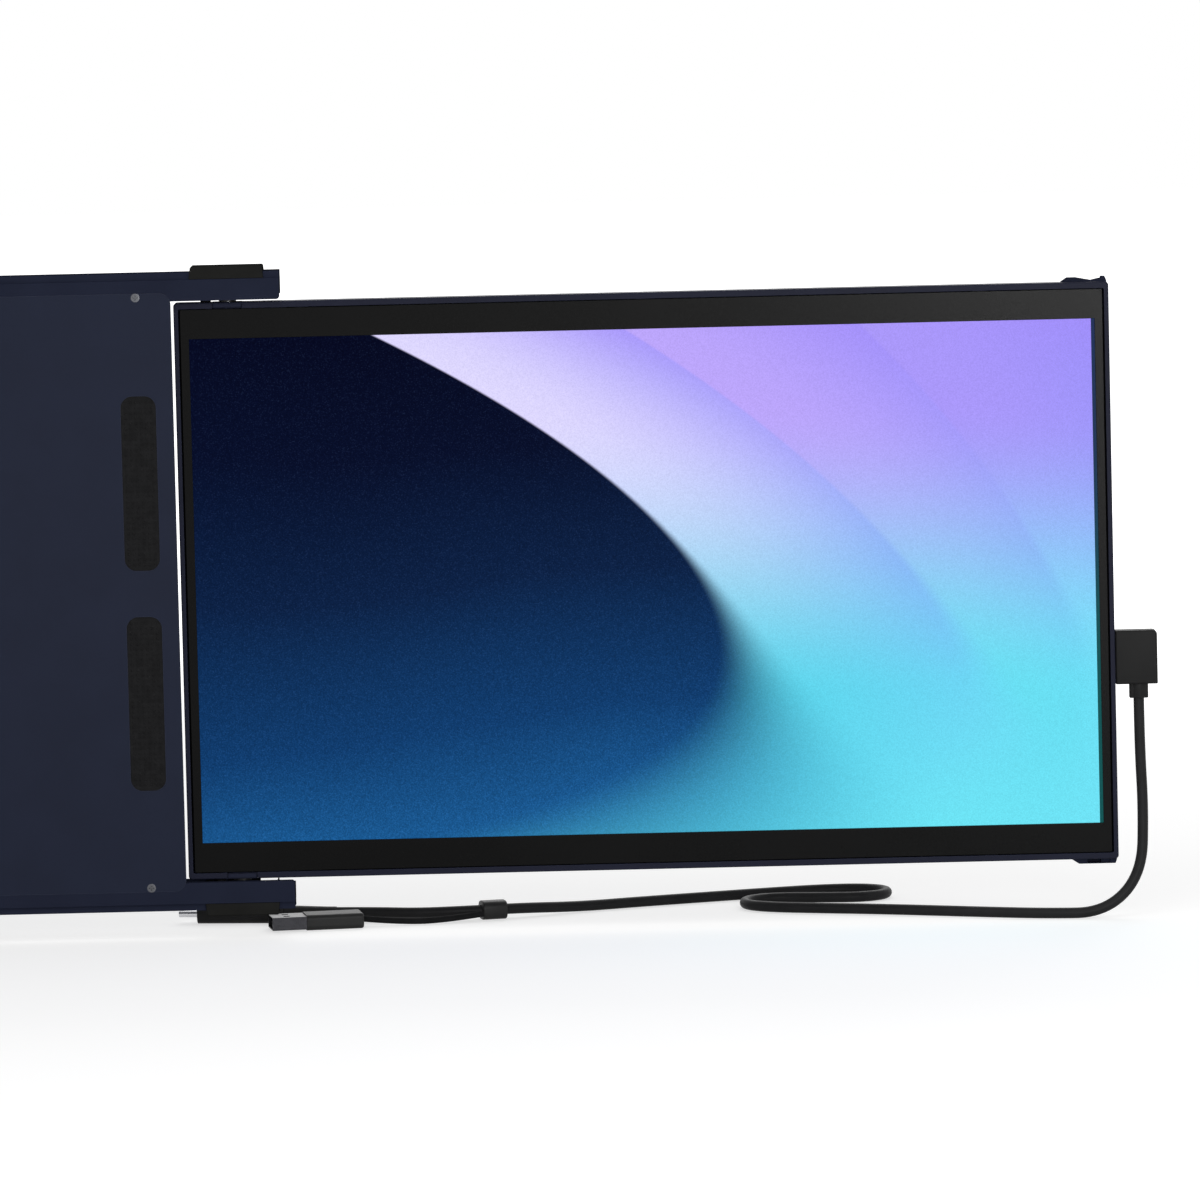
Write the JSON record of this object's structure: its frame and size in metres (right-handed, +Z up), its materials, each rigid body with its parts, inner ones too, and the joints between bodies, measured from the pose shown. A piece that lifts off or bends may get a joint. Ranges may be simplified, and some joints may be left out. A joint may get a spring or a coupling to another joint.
{
  "type": "laptop screen extender",
  "caption": "Portable screen that slides out of a slim magnetic case on two rails and swings on corner pins, with its cable and a tethered plug adapter.",
  "frame": {"origin": "centre of the case's front face, the face that lies on the laptop lid", "axes": "+X the way the screen slides out, -Y towards the user through the lid, +Z up along the hinge pins"},
  "size_m": [0.6188, 0.0892, 0.232],
  "materials": {
    "case_navy": "satin navy anodised",
    "rail_navy": "satin navy anodised",
    "block_black": "moulded",
    "shoe_black": "fine moulded grain",
    "soft_black": "soft",
    "felt": "felt",
    "magnet": "nickel plated",
    "screw_steel": "blackened",
    "hinge_steel": "brushed",
    "washer_black": "plain",
    "frame_navy": "satin navy",
    "cover_navy": "fine grain navy",
    "bezel_black": "satin black",
    "picture": "lit picture",
    "tray_metal": "pressed sheet",
    "board_green": "solder mask",
    "ribbon": "polyimide film",
    "switch_black": "plain",
    "plug_metal": "nickel plated",
    "plug_dark": "black nickel",
    "plug_black": "satin moulded",
    "cable_black": "satin jacket"
  },
  "bodies": {
    "case": {"front_plate": "case_navy", "top_front_rail": "rail_navy", "bottom_front_rail": "rail_navy", "top_rear_rail": "rail_navy", "bottom_rear_rail": "rail_navy", "top_right_end_block": "block_black", "bottom_right_end_block": "block_black", "top_left_end_block": "block_black", "bottom_left_end_block": "block_black", "lid_magnets": "magnet", "lid_pads": "soft_black", "felt_strips": "felt", "plate_screws": "screw_steel", "end_bumpers": "soft_black", "rail_screws": "screw_steel"},
    "carriage": {"top_slider_shoe": "shoe_black", "bottom_slider_shoe": "shoe_black", "top_carriage_block": "block_black", "bottom_carriage_block": "block_black", "top_hinge_pin": "hinge_steel", "bottom_hinge_pin": "hinge_steel", "top_friction_washer": "washer_black", "bottom_friction_washer": "washer_black", "shoe_screws": "screw_steel"},
    "screen": {"screen_frame": "frame_navy", "back_cover": "cover_navy", "cover_screws": "screw_steel", "front_bezel": "bezel_black", "display_panel": "picture", "backlight": "tray_metal", "driver_board": "board_green", "board_can": "tray_metal", "panel_ribbon": "ribbon", "port_shell": "plug_metal", "menu_switch": "switch_black", "top_hinge_leaf": "frame_navy", "bottom_hinge_leaf": "frame_navy", "leaf_screws": "screw_steel", "top_corner_guide": "shoe_black", "bottom_corner_guide": "shoe_black", "elbow_plug": "plug_black", "elbow_sleeve": "plug_black", "elbow_shell": "plug_metal", "usb_cable": "cable_black", "laptop_relief": "plug_black", "laptop_plug": "plug_black", "laptop_shell": "plug_metal", "tether_collar": "plug_black", "tether_strap": "plug_black", "adapter_body": "plug_black", "adapter_shell": "plug_dark"},
    "button": {"menu_button": "frame_navy"}
  },
  "joints": [
    {"name": "screen_slide", "type": "slide", "parent": "case", "child": "carriage", "axis": [1, 0, 0], "range_m": [-0.284, 0]},
    {"name": "screen_swing", "type": "hinge", "parent": "carriage", "child": "screen", "pos_m": [0.142, 0.007, 0], "axis": [0, 0, 1], "range_deg": [-90, 180]},
    {"name": "menu_press", "type": "slide", "parent": "screen", "child": "button", "axis": [-1, 0, 0], "range_m": [0, 0.0004], "stiffness_N_per_m": 500}
  ]
}
